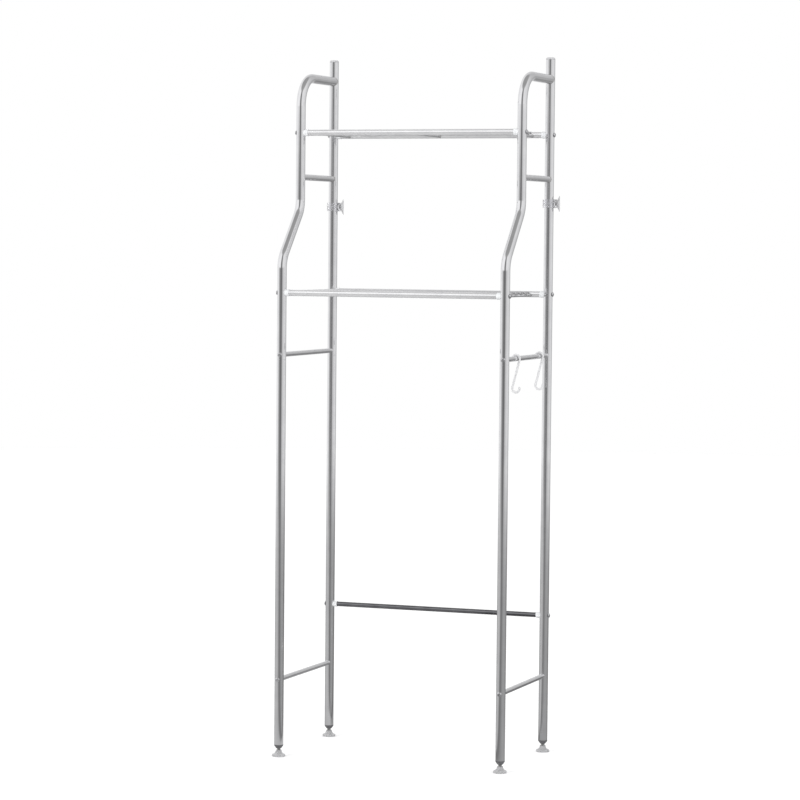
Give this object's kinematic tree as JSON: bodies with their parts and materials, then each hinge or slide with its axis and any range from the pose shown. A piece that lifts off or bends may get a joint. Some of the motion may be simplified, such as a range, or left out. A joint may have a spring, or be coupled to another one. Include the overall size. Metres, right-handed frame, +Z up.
{
  "type": "over the toilet storage rack",
  "caption": "Free-standing chromed tube rack that straddles a toilet, with wire shelves, side rungs, levelling feet, wall suction cups and S-hooks.",
  "frame": {"origin": "on the floor, midway between the four feet", "axes": "+X across the rack to the side with the roll hooks, +Y to the wall behind, +Z up"},
  "size_m": [0.5196, 0.3101, 1.438],
  "materials": {
    "chrome_tube": "polished",
    "chrome_wire": "polished",
    "hook_plastic": "gloss",
    "steel_sleeve": "satin",
    "stainless_screw": "satin",
    "insert_brass": "satin",
    "saddle_plastic": "gloss",
    "clip_plastic": "gloss",
    "cup_vinyl": "gloss",
    "cap_plastic": "gloss",
    "plug_plastic": "satin",
    "pad_plastic": "satin"
  },
  "bodies": {
    "rack_frame": {"left_front_upper_post": "chrome_tube", "left_front_leg": "chrome_tube", "left_front_joint_sleeve": "steel_sleeve", "left_front_leg_plug": "plug_plastic", "left_rear_upper_post": "chrome_tube", "left_rear_leg": "chrome_tube", "left_rear_joint_sleeve": "steel_sleeve", "left_rear_leg_plug": "plug_plastic", "left_post_cap": "cap_plastic", "left_upper_rung": "chrome_tube", "left_mid_rung": "chrome_tube", "left_lower_rung": "chrome_tube", "right_front_upper_post": "chrome_tube", "right_front_leg": "chrome_tube", "right_front_joint_sleeve": "steel_sleeve", "right_front_leg_plug": "plug_plastic", "right_rear_upper_post": "chrome_tube", "right_rear_leg": "chrome_tube", "right_rear_joint_sleeve": "steel_sleeve", "right_rear_leg_plug": "plug_plastic", "right_post_cap": "cap_plastic", "right_upper_rung": "chrome_tube", "right_mid_rung": "chrome_tube", "right_lower_rung": "chrome_tube", "rung_end_inserts": "insert_brass", "rung_screws": "stainless_screw", "upper_shelf_front_rail": "chrome_tube", "upper_shelf_rear_rail": "chrome_tube", "upper_shelf_cross_bars": "chrome_wire", "upper_shelf_wires": "chrome_wire", "upper_shelf_rail_inserts": "insert_brass", "upper_shelf_saddles": "saddle_plastic", "upper_shelf_bolts": "stainless_screw", "lower_shelf_front_rail": "chrome_tube", "lower_shelf_rear_rail": "chrome_tube", "lower_shelf_cross_bars": "chrome_wire", "lower_shelf_wires": "chrome_wire", "lower_shelf_rail_inserts": "insert_brass", "lower_shelf_saddles": "saddle_plastic", "lower_shelf_bolts": "stainless_screw", "rear_cross_bar": "chrome_tube", "rear_cross_bar_inserts": "insert_brass", "rear_cross_bar_saddles": "saddle_plastic", "rear_cross_bar_bolts": "stainless_screw"},
    "left_front_foot": {"left_front_foot_pad": "pad_plastic"},
    "left_front_stud": {"left_front_foot_stud": "stainless_screw"},
    "left_rear_foot": {"left_rear_foot_pad": "pad_plastic"},
    "left_rear_stud": {"left_rear_foot_stud": "stainless_screw"},
    "left_wall_clip": {"left_wall_clip_ring": "clip_plastic", "left_suction_cup": "cup_vinyl"},
    "right_front_foot": {"right_front_foot_pad": "pad_plastic"},
    "right_front_stud": {"right_front_foot_stud": "stainless_screw"},
    "right_rear_foot": {"right_rear_foot_pad": "pad_plastic"},
    "right_rear_stud": {"right_rear_foot_stud": "stainless_screw"},
    "right_wall_clip": {"right_wall_clip_ring": "clip_plastic", "right_suction_cup": "cup_vinyl"},
    "front_hook": {"front_roll_hook": "hook_plastic"},
    "rear_hook": {"rear_roll_hook": "hook_plastic"}
  },
  "joints": [
    {"name": "left_front_foot_height", "type": "slide", "parent": "rack_frame", "child": "left_front_foot", "axis": [0, 0, 1], "range_m": [-0.01, 0.003]},
    {"name": "left_front_stud_turn", "type": "hinge", "parent": "left_front_foot", "child": "left_front_stud", "pos_m": [-0.24, -0.137, 0.02], "axis": [0, 0, 1], "range_deg": [-2881, 865]},
    {"name": "left_rear_foot_height", "type": "slide", "parent": "rack_frame", "child": "left_rear_foot", "axis": [0, 0, 1], "range_m": [-0.01, 0.003]},
    {"name": "left_rear_stud_turn", "type": "hinge", "parent": "left_rear_foot", "child": "left_rear_stud", "pos_m": [-0.24, 0.137, 0.02], "axis": [0, 0, 1], "range_deg": [-2881, 865]},
    {"name": "right_front_foot_height", "type": "slide", "parent": "rack_frame", "child": "right_front_foot", "axis": [0, 0, 1], "range_m": [-0.01, 0.003]},
    {"name": "right_front_stud_turn", "type": "hinge", "parent": "right_front_foot", "child": "right_front_stud", "pos_m": [0.24, -0.137, 0.02], "axis": [0, 0, 1], "range_deg": [-2881, 865]},
    {"name": "right_rear_foot_height", "type": "slide", "parent": "rack_frame", "child": "right_rear_foot", "axis": [0, 0, 1], "range_m": [-0.01, 0.003]},
    {"name": "right_rear_stud_turn", "type": "hinge", "parent": "right_rear_foot", "child": "right_rear_stud", "pos_m": [0.24, 0.137, 0.02], "axis": [0, 0, 1], "range_deg": [-2881, 865]},
    {"name": "left_clip_swivel", "type": "hinge", "parent": "rack_frame", "child": "left_wall_clip", "pos_m": [-0.24, 0.137, 1.129], "axis": [0, 0, 1], "continuous": true},
    {"name": "right_clip_swivel", "type": "hinge", "parent": "rack_frame", "child": "right_wall_clip", "pos_m": [0.24, 0.137, 1.138], "axis": [0, 0, 1], "continuous": true},
    {"name": "front_hook_swing", "type": "hinge", "parent": "rack_frame", "child": "front_hook", "pos_m": [0.24, -0.065, 0.825], "axis": [0, 1, 0], "range_deg": [-75, 75]},
    {"name": "rear_hook_swing", "type": "hinge", "parent": "rack_frame", "child": "rear_hook", "pos_m": [0.24, 0.084, 0.825], "axis": [0, 1, 0], "range_deg": [-75, 75]}
  ],
  "couplings": [
    {"joint": "left_front_stud_turn", "follows": "left_front_foot_height", "rad_per_m": 5026.5},
    {"joint": "left_rear_stud_turn", "follows": "left_rear_foot_height", "rad_per_m": 5026.5},
    {"joint": "right_front_stud_turn", "follows": "right_front_foot_height", "rad_per_m": 5026.5},
    {"joint": "right_rear_stud_turn", "follows": "right_rear_foot_height", "rad_per_m": 5026.5}
  ]
}
